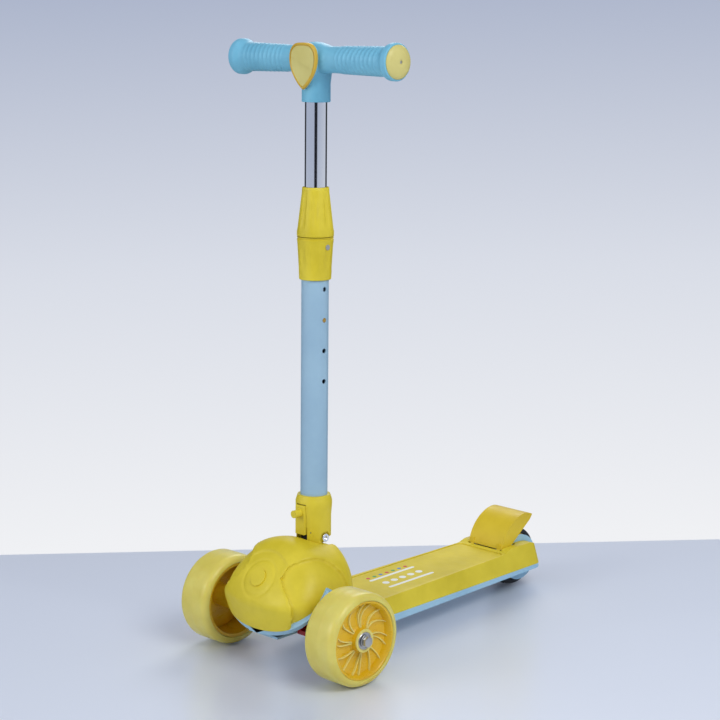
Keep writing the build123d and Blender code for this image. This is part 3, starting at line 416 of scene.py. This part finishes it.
# ---------------------------------------------------------------------------------------------------
# Axle nuts
# A plain washer and a zinc-plated hexagon lock nut with chamfered corners on each front axle.
for side, name in ((1, "left"), (-1, "right")):
    low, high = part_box(name + "_axle_nut")
    hub = (low + high) / 2
    inner = (low.y if side > 0 else high.y)
    nut = bmesh.new()
    washer = spun([(0.0042, 0), (0.0080, 0), (0.0080, 0.0010), (0.0077, 0.0012), (0.0042, 0.0012), (0.0042, 0)],
                  (hub.x, inner, hub.z), (0, side, 0), 48)
    scratch = bpy.data.meshes.new("washer")
    washer.to_mesh(scratch)
    washer.free()
    nut.from_mesh(scratch)
    bpy.data.meshes.remove(scratch)
    hexagon = bmesh.ops.create_circle(nut, cap_ends=True, segments=6, radius=0.0071)["verts"]
    turn = Matrix.Rotation(-side * pi / 2, 4, "X")
    bmesh.ops.transform(nut, matrix=Matrix.Translation((hub.x, inner + side * 0.0013, hub.z)) @ turn, verts=hexagon)
    cap = [f for f in nut.faces if all(v in hexagon for v in f.verts)]
    grown = bmesh.ops.extrude_face_region(nut, geom=cap)
    moved = [v for v in grown["geom"] if isinstance(v, bmesh.types.BMVert)]
    bmesh.ops.translate(nut, vec=(0, side * 0.0055, 0), verts=moved)
    edges = {e for v in hexagon + moved for e in v.link_edges}
    bmesh.ops.bevel(nut, geom=list(edges), offset=0.0006, segments=2, profile=0.5, affect="EDGES", material=-1)
    placed(nut, name + "_lock_nut", name + "_steering", "steel", steel, name + "_axle_nut", sharp=28)

# ---------------------------------------------------------------------------------------------------
# Rear tyre
# Black rubber with a shallow cross-hatched tread of slanted blocks.
hub = middle("rear_tyre")
rear_radius = 0.042
rear_half = 0.018
outline = [(0.0330, -rear_half + 0.001)] + round_corner((rear_radius - 0.0076, -rear_half + 0.0065), 0.0065, -90, 0)
outline += [(rear_radius - 0.0011, 0.0)]
outline += round_corner((rear_radius - 0.0076, rear_half - 0.0065), 0.0065, 0, 90) + [(0.0330, rear_half - 0.001)]
outline += [outline[0]]
placed(spun(outline, hub, (0, 1, 0), 96), "back_tyre", "rear_wheel", "black_tyre", black_rubber, "rear_tyre")
blocks = bmesh.new()
block_count = 34
for number in range(block_count):
    for row in (-1, 0, 1):
        angle = 2 * pi * (number + 0.5 * (row % 2)) / block_count
        out = Vector((cos(angle), 0, sin(angle)))
        along = Vector((-sin(angle), 0, cos(angle)))
        corners = []
        for rise, shrink in ((-0.0006, 1.0), (0.0010, 0.86)):
            for a, b in ((-0.0032, 0), (0, -0.0036), (0.0032, 0), (0, 0.0036)):
                place = hub + out * (rear_radius - 0.0011 + rise) + along * a * shrink
                corners.append(blocks.verts.new(place + Vector((0, row * 0.0046 + b * shrink, 0))))
        for first in range(4):
            second = (first + 1) % 4
            blocks.faces.new((corners[first], corners[second], corners[second + 4], corners[first + 4]))
        blocks.faces.new(corners[4:])
        blocks.faces.new(corners[3::-1])
placed(blocks, "tread_blocks", "rear_wheel", "black_tyre", black_rubber)

# ---------------------------------------------------------------------------------------------------
# Handlebar grips
# Soft turquoise sleeves over the bar, with fine slanted ribs along the hand's place, a waist and a
# flange at the end that stops the hand.
bar = middle("bar_tube")
rake = radians(2.5)
stem_up = Vector((-sin(rake), 0, cos(rake)))
stem_ahead = Vector((cos(rake), 0, sin(rake)))
grip_start = 0.032
grip_end = 0.141
for side, name in ((1, "left"), (-1, "right")):
    grip = bmesh.new()
    loops = []
    around = 64
    along_steps = 150
    for step in range(along_steps + 1):
        y = grip_start + (grip_end - grip_start) * step / along_steps
        radius = 0.0164 + 0.0016 * min((y - grip_start) / 0.088, 1)
        if y > 0.1235:
            rise = min((y - 0.1235) / 0.0105, 1)
            radius += (0.0229 - 0.0180) * rise * rise * (3 - 2 * rise)
        if y > grip_end - 0.0015:
            radius -= 0.0012 * ((y - grip_end + 0.0015) / 0.0015) ** 2
        loop = []
        for spoke in range(around):
            angle = 2 * pi * spoke / around
            wave = 0.0
            if 0.046 < y < 0.122:
                fade = min((y - 0.046) / 0.004, (0.122 - y) / 0.004, 1)
                bow = 0.0045 * cos(angle)
                wave = 0.00055 * fade * max(0.0, cos(2 * pi * (y + bow) / 0.0076)) ** 0.6
            out = stem_ahead * cos(angle) + stem_up * sin(angle)
            loop.append(grip.verts.new(bar + out * (radius + wave) + Vector((0, side * y, 0))))
        loops.append(loop)
    for first, second in zip(loops, loops[1:]):
        for spoke in range(around):
            after = (spoke + 1) % around
            grip.faces.new((first[spoke], first[after], second[after], second[spoke]))
    grip.faces.new(loops[0])
    grip.faces.new(loops[-1])
    placed(grip, name + "_hand_grip", "mast", "turquoise_plastic", turquoise, name + "_grip")

    # Pale end cap: a shallow dome with a sunk screw in the middle and a small edge roll.
    cap_outline = [(0.0, 0.1455), (0.0019, 0.1455), (0.0021, 0.1468), (0.0030, 0.1474), (0.0070, 0.1472),
                   (0.0130, 0.1462), (0.0170, 0.1448), (0.0195, 0.1433), (0.0206, 0.1420), (0.0206, 0.1408),
                   (0.0, 0.1408)]
    placed(spun(cap_outline, bar, (0, side, 0), 72), name + "_bar_cap", "mast", "pale_plastic", pale_yellow,
           name + "_end_cap")

# ---------------------------------------------------------------------------------------------------
# Handlebar tee
# One turquoise moulding: a barrel that swells to the middle, a socket round the upper tube and a boss
# behind the badge, run together with a soft blend.
barrel_half = 0.0320
outline = [(0.0115, -barrel_half)]
for step in range(33):
    y = -barrel_half + 2 * barrel_half * step / 32
    outline.append((0.0164 + 0.0050 * cos(pi / 2 * y / barrel_half) ** 2, y))
outline += [(0.0115, barrel_half), (0.0115, -barrel_half)]
tee = spun(outline, bar, (0, 1, 0), 72)
low_end = 0.0527
socket_outline = [(0.0145, -low_end), (0.0176, -low_end), (0.0181, -low_end + 0.0006), (0.0180, -0.030)]
socket_outline += [(0.0184 + 0.0022 * share ** 2, -0.030 + 0.018 * share) for share in (0.3, 0.6, 0.85, 1.0)]
socket_outline += [(0.0145, -0.004), (0.0145, -low_end)]
socket = spun(socket_outline, bar, stem_up, 72)
add_shape(tee, socket)
placed(tee, "bar_tee", "mast", "turquoise_plastic", turquoise, "handlebar_tee")


def shield_points(width, height, count=7):
    """Outline of a shield, its point down, as (across, up) from the middle of its box."""
    half = width / 2
    sides = []
    for step in range(count * 2):
        share = step / (count * 2 - 1)
        up = -height / 2 + height * 0.66 * share
        sides.append((half * (sin(share * pi / 2) ** 0.80), up))
    shoulders = []
    for step in range(1, count + 2):
        angle = pi / 2 * step / (count + 1)
        shoulders.append((half * cos(angle) ** 0.62, -height / 2 + height * (0.66 + 0.34 * sin(angle) ** 0.9)))
    right = sides + shoulders
    left = [(-x, z) for x, z in right[-2:0:-1]]
    return right + left


def shield_plate(bm, place, width, height, depth):
    """A shield-shaped slab whose back is at place, standing square to the rider's way ahead."""
    verts = [bm.verts.new(place + Vector((0, 1, 0)) * across + stem_up * up) for across, up in
             shield_points(width, height)]
    back = bm.faces.new(verts)
    grown = bmesh.ops.extrude_face_region(bm, geom=[back])
    moved = [v for v in grown["geom"] if isinstance(v, bmesh.types.BMVert)]
    bmesh.ops.translate(bm, vec=stem_ahead * depth, verts=moved)
    return [f for f in grown["geom"] if isinstance(f, bmesh.types.BMFace)][0]


badge_middle = middle("handlebar_badge")
badge_back = badge_middle - stem_ahead * 0.002
boss = bmesh.new()
front = shield_plate(boss, badge_back - stem_ahead * 0.0125, 0.0415, 0.0500, 0.0124)
placed(boss, "badge_boss", "mast", "turquoise_plastic", turquoise)

# ---------------------------------------------------------------------------------------------------
# Badge
# A pale shield clipped to the boss: a rolled golden rim, a sunk grained face and one raised facet with
# a slanting crease.
badge = bmesh.new()
front = shield_plate(badge, badge_back, 0.0488, 0.0576, 0.0028)
bmesh.ops.inset_region(badge, faces=[front], thickness=0.0012, depth=0.0010)
bmesh.ops.inset_region(badge, faces=[front], thickness=0.0014, depth=0.0)
bmesh.ops.inset_region(badge, faces=[front], thickness=0.0005, depth=-0.0009)
placed(badge, "badge_rim", "mast", "pale_plastic", golden, "handlebar_badge", sharp=50)
facet = bmesh.new()
facet_outline = shield_points(0.0414, 0.0502)
facet_slant = 0.42
for above in (True, False):
    lift = 0.0014 if above else 0.0007
    slab = bmesh.new()
    verts = [slab.verts.new(badge_back + stem_ahead * 0.0026 + Vector((0, 1, 0)) * across + stem_up * up)
             for across, up in facet_outline]
    face = slab.faces.new(verts)
    grown = bmesh.ops.extrude_face_region(slab, geom=[face])
    moved = [v for v in grown["geom"] if isinstance(v, bmesh.types.BMVert)]
    bmesh.ops.translate(slab, vec=stem_ahead * lift, verts=moved)
    cut_at = badge_back + stem_up * 0.003
    cut_normal = (stem_up * cos(facet_slant) + Vector((0, 1, 0)) * sin(facet_slant)) * (-1 if above else 1)
    cut = bmesh.ops.bisect_plane(slab, geom=slab.verts[:] + slab.edges[:] + slab.faces[:], plane_co=cut_at,
                                 plane_no=cut_normal, clear_outer=True)
    rim = [e for e in cut["geom_cut"] if isinstance(e, bmesh.types.BMEdge)]
    bmesh.ops.contextual_create(slab, geom=rim)
    add_shape(facet, slab)
placed(facet, "badge_face", "mast", "pale_plastic", pale_yellow, sharp=25)

# ---------------------------------------------------------------------------------------------------
# Height clamp
# Two yellow mouldings: the lower half is fixed on the tube, the upper half is a nut turned by hand.
# Both are scalloped for grip, and a double groove with a thin ring runs round where they meet.
pivot = Vector((axle_x - 0.0516, 0, 0.1567))


def scalloped(outline, flutes, depth, low, high, turn=0.0, steps=120):
    """A turned sleeve with a ring of shallow hollows between two heights above the fold pivot."""
    bm = spun(outline, pivot, stem_up, steps)
    for vert in bm.verts:
        offset = vert.co - pivot
        height = offset.dot(stem_up)
        out = offset - stem_up * height
        if out.length > 0.0165 and low < height < high:
            angle = atan2(out.dot(Vector((0, 1, 0))), out.dot(stem_ahead)) + turn
            share = (height - low) / (high - low)
            hollow = max(0.0, cos(flutes * angle)) ** 0.7 * sin(pi * share) ** 0.6
            vert.co -= out.normalized() * depth * hollow
    return bm


clamp_low = 0.3337
clamp_split = 0.3884
clamp_high = 0.4502
outline = [(0.0176, clamp_low), (0.0198, clamp_low), (0.0204, clamp_low + 0.0006), (0.0206, clamp_low + 0.006)]
outline += [(0.0206 + 0.0027 * share, clamp_low + 0.006 + 0.044 * share) for share in
            (0.1, 0.2, 0.3, 0.4, 0.5, 0.6, 0.7, 0.8, 0.9, 1.0)]
outline += [(0.0233, clamp_split - 0.0036), (0.0225, clamp_split - 0.0030), (0.0225, clamp_split - 0.0022),
            (0.0232, clamp_split - 0.0017), (0.0232, clamp_split - 0.0008), (0.0161, clamp_split - 0.0008),
            (0.0161, 0.3662), (0.0176, 0.3662), (0.0176, clamp_low)]
placed(scalloped(outline, 8, 0.0013, clamp_low + 0.012, clamp_split - 0.008), "clamp_lower", "stem", "yellow_shell",
       yellow, "clamp_body")
outline = [(0.0161, clamp_split), (0.0228, clamp_split), (0.0234, clamp_split + 0.0006),
           (0.0235, clamp_split + 0.006)]
outline += [(0.0235 - 0.0062 * share, clamp_split + 0.006 + 0.052 * share) for share in
            (0.08, 0.16, 0.24, 0.32, 0.4, 0.5, 0.6, 0.7, 0.8, 0.9, 1.0)]
outline += [(0.0170, clamp_high - 0.0006), (0.0165, clamp_high), (0.0161, clamp_high), (0.0161, clamp_split)]
placed(scalloped(outline, 8, 0.0020, clamp_split + 0.009, clamp_high - 0.006), "clamp_upper", "clamp", "yellow_shell",
       yellow, "clamp_nut")

# ---------------------------------------------------------------------------------------------------
# Upper tube
# Thin steel tube, ground and chromed to a mirror, with a rolled lip at its hidden foot. It has one hole for
# the button, which is not cut here.
tube_outline = [(0.0128, 0.258), (0.0140, 0.258), (0.0143, 0.2583), (0.0143, 0.5957), (0.0140, 0.596),
                (0.0128, 0.596), (0.0128, 0.258)]
placed(spun(tube_outline, pivot, stem_up, 96), "mast_tube", "mast", "chromed_tube", chrome, "upper_tube")

# ---------------------------------------------------------------------------------------------------
# Head shell
# One large egg-shaped moulding over the steering: a soft brow above the emblem, a scoop each side, a
# ring round the emblem, and a straight-sided notch for each front wheel's arm.
head_crown_x = axle_x + 0.005
head_middle_z = 0.092
head_ahead = 0.0575
head_half_width = 0.082
head_upper = 0.069
head_lower = 0.060
notch_apex = (axle_x - 0.002, 0.110)
notch_nose = (axle_x + 0.061, 0.053)
notch_rear = (axle_x - 0.074, 0.062)
emblem_ring = 0.025
smoothing_passes = 7
emblem_tilt = radians(39)
emblem_facing = Vector((cos(emblem_tilt), 0, sin(emblem_tilt)))
emblem_middle = middle("head_emblem")


def copy_of(*names):
    """The shapes of CAD nodes in one bmesh, flat areas merged."""
    bm = bmesh.new()
    for name in names:
        shape = nodes[name].data.copy()
        shape.transform(nodes[name].matrix_world)
        bm.from_mesh(shape)
        bpy.data.meshes.remove(shape)
    bmesh.ops.remove_doubles(bm, verts=bm.verts, dist=1e-6)
    bmesh.ops.dissolve_limit(bm, angle_limit=radians(0.5), verts=bm.verts, edges=bm.edges)
    return bm


def nose_half_height(x, low):
    """Half height of the head ahead of its crown, for its blunt lower half or its sloping upper half."""
    share = min(max((x - head_crown_x) / head_ahead, 0.0), 0.99)
    power = 2.6 if low else 1.3
    return (head_lower if low else head_upper) * (1 - share ** power) ** (1 / power)


def finished(bm, modifiers):
    """The bmesh after modifiers, each given as a type and its settings."""
    helper = mesh_object(bm, "helper")
    for kind, settings in modifiers:
        modifier = helper.modifiers.new(kind.lower(), kind)
        for key, value in settings.items():
            setattr(modifier, key, value)
    view = bpy.context.evaluated_depsgraph_get()
    result = bmesh.new()
    result.from_mesh(helper.evaluated_get(view).to_mesh())
    bpy.data.objects.remove(helper)
    return result


def smooth_step(value, low, high):
    """A share from 0 to 1 that eases in and out between two values."""
    share = min(max((value - low) / (high - low), 0.0), 1.0)
    return share * share * (3 - 2 * share)


head_bm = finished(copy_of("head_shell"), [("REMESH", {"mode": "VOXEL", "voxel_size": 0.0017})])
for _ in range(smoothing_passes):
    bmesh.ops.smooth_vert(head_bm, verts=head_bm.verts, factor=0.5, use_axis_x=True, use_axis_y=True,
                          use_axis_z=True)
for vert in head_bm.verts:
    x, y, z = vert.co
    if x > head_crown_x and z < head_middle_z:
        fuller = nose_half_height(x, True) / max(nose_half_height(x, False), 0.012)
        share = smooth_step(head_middle_z - z, 0.0, 0.02)
        vert.co.z = head_middle_z + (z - head_middle_z) * (1 + (fuller - 1) * share)
    brow_x = axle_x + 0.0195 + 6.0 * y * y
    ahead = x - brow_x
    if ahead > -0.002 and abs(y) < 0.038 and z > head_middle_z:
        fade = smooth_step(0.038 - abs(y), 0.0, 0.014) * (1 - smooth_step(ahead, 0.004, 0.030))
        vert.co -= emblem_facing * 0.0016 * fade * smooth_step(ahead, -0.001, 0.0022)
    offset = vert.co - emblem_middle
    across = (offset - emblem_facing * offset.dot(emblem_facing)).length
    if offset.dot(emblem_facing) > -0.004 and abs(across - emblem_ring) < 0.003:
        vert.co -= emblem_facing * 0.0007 * cos(pi / 2 * (across - emblem_ring) / 0.003)

cutter_bm = bmesh.new()
profile = [notch_apex, notch_nose, (axle_x + 0.2, notch_nose[1]), (axle_x + 0.2, 0.0), (axle_x - 0.2, 0.0),
           (axle_x - 0.2, notch_rear[1]), notch_rear]
near_ring = [cutter_bm.verts.new((x, -0.2, z)) for x, z in profile]
side_face = cutter_bm.faces.new(near_ring)
through = bmesh.ops.extrude_face_region(cutter_bm, geom=[side_face])
far_side = [v for v in through["geom"] if isinstance(v, bmesh.types.BMVert)]
bmesh.ops.translate(cutter_bm, vec=(0, 0.4, 0), verts=far_side)
cutter = mesh_object(cutter_bm, "notch_cutter")
head_bm = finished(head_bm, [("BOOLEAN", {"operation": "DIFFERENCE", "solver": "EXACT", "object": cutter})])
bpy.data.objects.remove(cutter)
placed(head_bm, "head_moulding", "chassis", "yellow_shell", yellow, "head_shell", sharp=50)

# ---------------------------------------------------------------------------------------------------
# Lower bowl
# A pale blue moulding under the head. Its lip shows as a thin band along the notches and deepens to a
# chin under the nose; its floor is flat and carries the steering frame.
def notch_height(x):
    """Height of the head's edge at a distance along the scooter."""
    corner = notch_nose if x > notch_apex[0] else notch_rear
    share = (x - notch_apex[0]) / (corner[0] - notch_apex[0])
    return notch_apex[1] + share * (corner[1] - notch_apex[1])


def head_width_at(x, z, inset):
    """Half width of the head's surface at a place along it and a height, pulled in by inset."""
    if x > head_crown_x:
        share = min((x - head_crown_x) / head_ahead, 0.99)
        half_width = head_half_width * (1 - share ** 2.7) ** (1 / 2.7)
        half_height = nose_half_height(x, z < head_middle_z)
    else:
        share = min((head_crown_x - x) / 0.092, 0.99)
        half_width = head_half_width * (1 - share ** 2.25) ** (1 / 2.25)
        half_height = head_upper * (1 - share ** 2.7) ** (1 / 2.7)
    round_off = 1 - ((z - head_middle_z) / max(half_height - inset, 0.002)) ** 2
    return max((half_width - inset) * max(round_off, 0.0) ** 0.5, 0.0)


bowl_bm = bmesh.new()
band_start = axle_x - 0.051
nose_x = axle_x + 0.052
steps = 60
sections = []
for step in range(steps + 1):
    x = band_start + (nose_x - band_start) * step / steps
    edge = notch_height(x) - 0.0003
    drop = 0.0022 + 0.0082 * smooth_step(x, axle_x + 0.005, nose_x)
    outer_top = head_width_at(x, edge, 0.0008)
    outer_low = min(head_width_at(x, edge - drop, 0.0015), outer_top)
    sections.append([(x, outer_top, edge), (x, outer_low, edge - drop), (x, max(outer_low - 0.003, 0.0), edge - drop),
                     (x, max(outer_top - 0.006, 0.0), edge + 0.004), (x, max(outer_top - 0.0036, 0.0), edge + 0.004),
                     (x, max(outer_top - 0.0032, 0.0), edge)])
mirrored_sections = [[(x, -y, z) for x, y, z in section] for section in reversed(sections)]
rings = [[bowl_bm.verts.new(point) for point in section] for section in sections + mirrored_sections]
for first, second in zip(rings, rings[1:]):
    for corner in range(len(first)):
        after = (corner + 1) % len(first)
        bowl_bm.faces.new((first[corner], second[corner], second[after], first[after]))
bowl_bm.faces.new(rings[0])
bowl_bm.faces.new(list(reversed(rings[-1])))
floor_bm = copy_of("head_bowl")
for cut_at, cut_facing in (((0, 0, 0.0475), (0, 0, 1)), ((axle_x + 0.041, 0, 0), (1, 0, 0))):
    bmesh.ops.bisect_plane(floor_bm, geom=floor_bm.verts[:] + floor_bm.edges[:] + floor_bm.faces[:],
                           plane_co=cut_at, plane_no=cut_facing, clear_outer=True)
    bmesh.ops.holes_fill(floor_bm, edges=[edge for edge in floor_bm.edges if edge.is_boundary], sides=0)
add_shape(bowl_bm, floor_bm)
placed(bowl_bm, "bowl_moulding", "chassis", "blue_shell", pale_blue, "head_bowl", sharp=35)


# ---------------------------------------------------------------------------------------------------
# Deck, tray and fender
# The deck is two mouldings screwed together, yellow over blue, every edge rounded for the mould. The
# fender is a curved yellow plate that is pressed down on the rear wheel as a brake.
def softened(name, body, slot, material, width=0.0010, segments=3):
    """A part in its true shape with its edges rounded as they leave the mould or the press."""
    piece = placed(copy_of(name), name + "_finished", body, slot, material, name, sharp=30)
    bevel = piece.modifiers.new("edges", "BEVEL")
    bevel.width = width
    bevel.segments = segments
    bevel.limit_method = "ANGLE"
    bevel.angle_limit = radians(32)
    bevel.use_clamp_overlap = True
    return piece


softened("deck_shell", "chassis", "yellow_shell", yellow, 0.0016)
softened("deck_tray", "chassis", "blue_shell", pale_blue, 0.0012)
softened("rear_fender", "foot_brake", "yellow_shell", fender_yellow, 0.0014)

# ---------------------------------------------------------------------------------------------------
# Deck pad
# A thin rubber mat let into the deck, with a fine tread of raised dots and three plain pale bars with
# a row of coloured dots where the maker prints a decoration.
softened("deck_pad", "chassis", "pad_rubber", pad_rubber, 0.0006, 2)
pad_low, pad_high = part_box("deck_pad")
print_thickness = 0.00025


def printed(name, colour, shapes):
    """Flat rounded marks on the pad, each given as a middle, a length and a width."""
    bm = bmesh.new()
    for x, y, length, width in shapes:
        ends = []
        for step in range(25):
            angle = 2 * pi * step / 24
            along = (length - width) / 2 * (1 if cos(angle) > 0 else -1)
            ends.append((x + along + width / 2 * cos(angle), y + width / 2 * sin(angle)))
        ring = [bm.verts.new((px, py, pad_high.z - 0.0001)) for px, py in ends[:-1]]
        raised = bmesh.ops.extrude_face_region(bm, geom=[bm.faces.new(ring)])
        lifted = [v for v in raised["geom"] if isinstance(v, bmesh.types.BMVert)]
        bmesh.ops.translate(bm, vec=(0, 0, print_thickness + 0.0001), verts=lifted)
    ink = moulded_plastic(name + "_ink", colour, colour, 0.5, grain=0.05)
    placed(bm, name, "chassis", "pad_rubber", ink)


bar_x = pad_low.x + 0.165
printed("pale_bars", (236, 236, 222), [(bar_x + 0.016 * step, 0.004, 0.010, 0.010) for step in (-2, -1, 0, 1, 2)]
        + [(bar_x, -0.016, 0.086, 0.005), (bar_x, 0.021, 0.086, 0.005)])
for turn, (name, colour) in enumerate((("red_dots", (206, 52, 52)), ("blue_dots", (70, 130, 190)),
                                       ("green_dots", (80, 160, 90)))):
    printed(name, colour, [(bar_x - 0.036 + 0.012 * (turn + 3 * step), -0.026, 0.0055, 0.0055) for step in (0, 1, 2)
                           if turn + 3 * step < 7])

# ---------------------------------------------------------------------------------------------------
# Folding joint
# A stout yellow collar round the foot of the stem, with a lever on its side that lets the stem fold,
# and a bright bolt through both.
softened("fold_collar", "stem", "yellow_shell", yellow, 0.0014)
softened("latch_lever", "latch", "yellow_shell", yellow, 0.0009)
softened("fold_bolt", "chassis", "steel", chrome, 0.0004, 2)
softened("fold_nut", "chassis", "steel", steel, 0.0004, 2)

# ---------------------------------------------------------------------------------------------------
# Lower tube
# Round steel tube, powder coated pale blue, with a row of punched holes and a small brass button in one of
# them. The holes' edges show bare metal on the real tube; the bare metal is not drawn and the paint covers them.
softened("lower_tube", "stem", "painted_tube", tube_paint, 0.0004, 2)

# ---------------------------------------------------------------------------------------------------
# Steering
# Red glass-filled mouldings: a beam that leans with the stem, and a knuckle each side that turns its
# wheel. Their edges are rounded, since a hand can reach them.
softened("axle_beam", "lean_beam", "red_plastic", red, 0.0010)
softened("left_knuckle", "left_steering", "red_plastic", red, 0.0010)
softened("right_knuckle", "right_steering", "red_plastic", red, 0.0010)
softened("tie_rod", "steering_link", "dark_plastic", dark, 0.0008)
softened("head_frame", "chassis", "dark_plastic", dark, 0.0008, 2)
